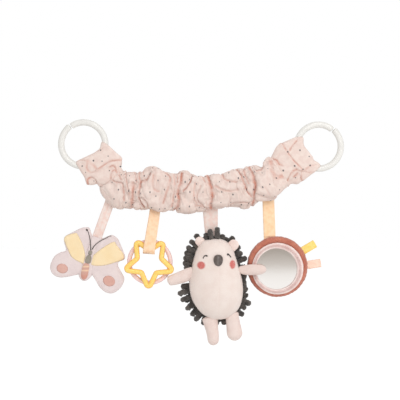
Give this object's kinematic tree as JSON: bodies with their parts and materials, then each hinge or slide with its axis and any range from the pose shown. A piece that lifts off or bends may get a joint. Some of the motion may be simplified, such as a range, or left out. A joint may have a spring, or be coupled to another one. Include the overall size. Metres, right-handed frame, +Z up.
{
  "type": "pram chain toy",
  "caption": "Gathered elastic sleeve between two split plastic rings, with a butterfly, a star teether, a hedgehog and a padded mirror hanging from it on ribbons.",
  "frame": {"origin": "halfway between the centres of the two split rings, where the chain's hanging line crosses its middle", "axes": "+X from the butterfly's end to the mirror's end, +Y away from the face side, +Z up"},
  "size_m": [0.3814, 0.06, 0.2945],
  "materials": {
    "milky_plastic": "milky translucent",
    "dotted_cotton": "gathered cotton with small dots",
    "elastic_webbing": "woven elastic",
    "pale_pink_ribbon": "grosgrain ribbon",
    "peach_ribbon": "grosgrain ribbon",
    "apricot_ribbon": "grosgrain ribbon",
    "grey_brushed_cotton": "brushed cotton",
    "lilac_brushed_cotton": "brushed cotton with sewn patches",
    "white_wadding": "soft wadding",
    "yellow_silicone": "satin silicone",
    "pink_silicone": "translucent silicone",
    "blush_plush": "short plush",
    "pink_plush": "short plush",
    "ear_plush": "short plush",
    "grey_chenille": "chenille loops",
    "grey_satin": "satin",
    "terracotta_velour": "ribbed velour",
    "stitched_pink_rim": "overlocked felt",
    "soft_mirror": "thin safety mirror film",
    "yellow_ribbon": "satin ribbon",
    "peach_tag_ribbon": "satin ribbon"
  },
  "bodies": {
    "sleeve": {"sleeve": "dotted_cotton", "elastic_band": "elastic_webbing"},
    "left_cuff": {"left_cuff": "dotted_cotton"},
    "right_cuff": {"right_cuff": "dotted_cotton"},
    "left_ring": {"left_ring": "milky_plastic"},
    "right_ring": {"right_ring": "milky_plastic"},
    "butterfly_ribbon": {"butterfly_strap": "pale_pink_ribbon"},
    "butterfly": {"butterfly_body": "grey_brushed_cotton"},
    "left_wing": {"left_wing_front": "lilac_brushed_cotton", "left_wing_back": "lilac_brushed_cotton", "left_wing_filling": "white_wadding"},
    "right_wing": {"right_wing_front": "lilac_brushed_cotton", "right_wing_back": "lilac_brushed_cotton", "right_wing_filling": "white_wadding"},
    "star_ribbon": {"star_strap": "peach_ribbon"},
    "star": {"star_teether": "yellow_silicone"},
    "teether_ring": {"pink_ring": "pink_silicone"},
    "hedgehog_ribbon": {"hedgehog_strap": "pale_pink_ribbon"},
    "hedgehog": {"hedgehog_belly": "blush_plush", "hedgehog_back": "grey_chenille", "nose": "grey_satin"},
    "left_arm": {"left_arm": "pink_plush"},
    "right_arm": {"right_arm": "pink_plush"},
    "left_leg": {"left_leg": "pink_plush"},
    "right_leg": {"right_leg": "pink_plush"},
    "left_ear": {"left_ear": "ear_plush"},
    "right_ear": {"right_ear": "ear_plush"},
    "mirror_ribbon": {"mirror_strap": "apricot_ribbon"},
    "mirror_toy": {"mirror_pad_front": "terracotta_velour", "mirror_pad_back": "terracotta_velour", "mirror_bezel": "stitched_pink_rim", "mirror_disc": "soft_mirror"},
    "yellow_tag": {"yellow_tag": "yellow_ribbon"},
    "pink_tag": {"pink_tag": "peach_tag_ribbon"}
  },
  "joints": [
    {"name": "left_cuff_fold", "type": "hinge", "parent": "sleeve", "child": "left_cuff", "pos_m": [-0.1184, 0, -0.0412], "axis": [0.7771, 0, 0.6293], "range_deg": [-60, 60], "stiffness_Nm_per_rad": 0.05},
    {"name": "right_cuff_fold", "type": "hinge", "parent": "sleeve", "child": "right_cuff", "pos_m": [0.1069, 0, -0.0315], "axis": [0.5446, 0, -0.8387], "range_deg": [-60, 60], "stiffness_Nm_per_rad": 0.05},
    {"name": "left_ring_turn", "type": "hinge", "parent": "left_cuff", "child": "left_ring", "pos_m": [-0.153, 0, 0.0015], "axis": [0, 1, 0], "continuous": true},
    {"name": "right_ring_turn", "type": "hinge", "parent": "right_cuff", "child": "right_ring", "pos_m": [0.153, 0, -0.0015], "axis": [0, 1, 0], "continuous": true},
    {"name": "butterfly_ribbon_swing", "type": "hinge", "parent": "sleeve", "child": "butterfly_ribbon", "pos_m": [-0.1178, 0.004, -0.0732], "axis": [1, 0, 0], "range_deg": [-45, 60]},
    {"name": "butterfly_tilt", "type": "hinge", "parent": "butterfly_ribbon", "child": "butterfly", "pos_m": [-0.1351, 0.004, -0.1185], "axis": [1, 0, 0], "range_deg": [-50, 50]},
    {"name": "left_wing_fold", "type": "hinge", "parent": "butterfly", "child": "left_wing", "pos_m": [-0.1502, 0.004, -0.1451], "axis": [-0.2292, 0, -0.9734], "range_deg": [-30, 30], "stiffness_Nm_per_rad": 0.01},
    {"name": "right_wing_fold", "type": "hinge", "parent": "butterfly", "child": "right_wing", "pos_m": [-0.1401, 0.004, -0.1475], "axis": [-0.2292, 0, -0.9734], "range_deg": [-30, 30], "stiffness_Nm_per_rad": 0.01},
    {"name": "star_ribbon_swing", "type": "hinge", "parent": "sleeve", "child": "star_ribbon", "pos_m": [-0.0592, 0.004, -0.0876], "axis": [1, 0, 0], "range_deg": [-45, 60]},
    {"name": "star_tilt", "type": "hinge", "parent": "star_ribbon", "child": "star", "pos_m": [-0.0666, -0.0034, -0.1317], "axis": [1, 0, 0], "range_deg": [-20, 20]},
    {"name": "teether_ring_turn", "type": "hinge", "parent": "star", "child": "teether_ring", "pos_m": [-0.0666, 0.00295, -0.1517], "axis": [0, 1, 0], "continuous": true},
    {"name": "hedgehog_ribbon_swing", "type": "hinge", "parent": "sleeve", "child": "hedgehog_ribbon", "pos_m": [0.0118, 0.004, -0.0843], "axis": [1, 0, 0], "range_deg": [-45, 0]},
    {"name": "hedgehog_tilt", "type": "hinge", "parent": "hedgehog_ribbon", "child": "hedgehog", "pos_m": [0.015, 0.009, -0.1214], "axis": [1, 0, 0], "range_deg": [-35, 0]},
    {"name": "left_arm_swing", "type": "hinge", "parent": "hedgehog", "child": "left_arm", "pos_m": [-0.0161, -0.002, -0.1662], "axis": [-0.3338, 0, 0.9426], "range_deg": [-30, 30], "stiffness_Nm_per_rad": 0.01},
    {"name": "right_arm_swing", "type": "hinge", "parent": "hedgehog", "child": "right_arm", "pos_m": [0.0533, -0.002, -0.1622], "axis": [0, 0, 1], "range_deg": [-40, 2], "stiffness_Nm_per_rad": 0.01},
    {"name": "left_leg_swing", "type": "hinge", "parent": "hedgehog", "child": "left_leg", "pos_m": [0.0105, 0.001, -0.2281], "axis": [1, 0, 0], "range_deg": [-50, 15], "stiffness_Nm_per_rad": 0.01},
    {"name": "right_leg_swing", "type": "hinge", "parent": "hedgehog", "child": "right_leg", "pos_m": [0.0401, 0.001, -0.2237], "axis": [1, 0, 0], "range_deg": [-50, 15], "stiffness_Nm_per_rad": 0.01},
    {"name": "left_ear_bend", "type": "hinge", "parent": "hedgehog", "child": "left_ear", "pos_m": [-0.0022, 0.003, -0.1263], "axis": [-0.829, 0, -0.5592], "range_deg": [-25, 25], "stiffness_Nm_per_rad": 0.002},
    {"name": "right_ear_bend", "type": "hinge", "parent": "hedgehog", "child": "right_ear", "pos_m": [0.0397, 0.003, -0.1301], "axis": [-0.6561, 0, 0.7547], "range_deg": [-25, 25], "stiffness_Nm_per_rad": 0.002},
    {"name": "mirror_ribbon_swing", "type": "hinge", "parent": "sleeve", "child": "mirror_ribbon", "pos_m": [0.0872, 0.0085, -0.065], "axis": [1, 0, 0], "range_deg": [0, 60]},
    {"name": "mirror_tilt", "type": "hinge", "parent": "mirror_ribbon", "child": "mirror_toy", "pos_m": [0.0922, 0.0098, -0.1173], "axis": [1, 0, 0], "range_deg": [0, 45]},
    {"name": "yellow_tag_bend", "type": "hinge", "parent": "mirror_toy", "child": "yellow_tag", "pos_m": [0.134, 0.0098, -0.1363], "axis": [-0.5299, 0, 0.848], "range_deg": [-50, 50], "stiffness_Nm_per_rad": 0.002},
    {"name": "pink_tag_bend", "type": "hinge", "parent": "mirror_toy", "child": "pink_tag", "pos_m": [0.1399, 0.0098, -0.1538], "axis": [-0.0958, 0, 0.9954], "range_deg": [-50, 50], "stiffness_Nm_per_rad": 0.002}
  ]
}
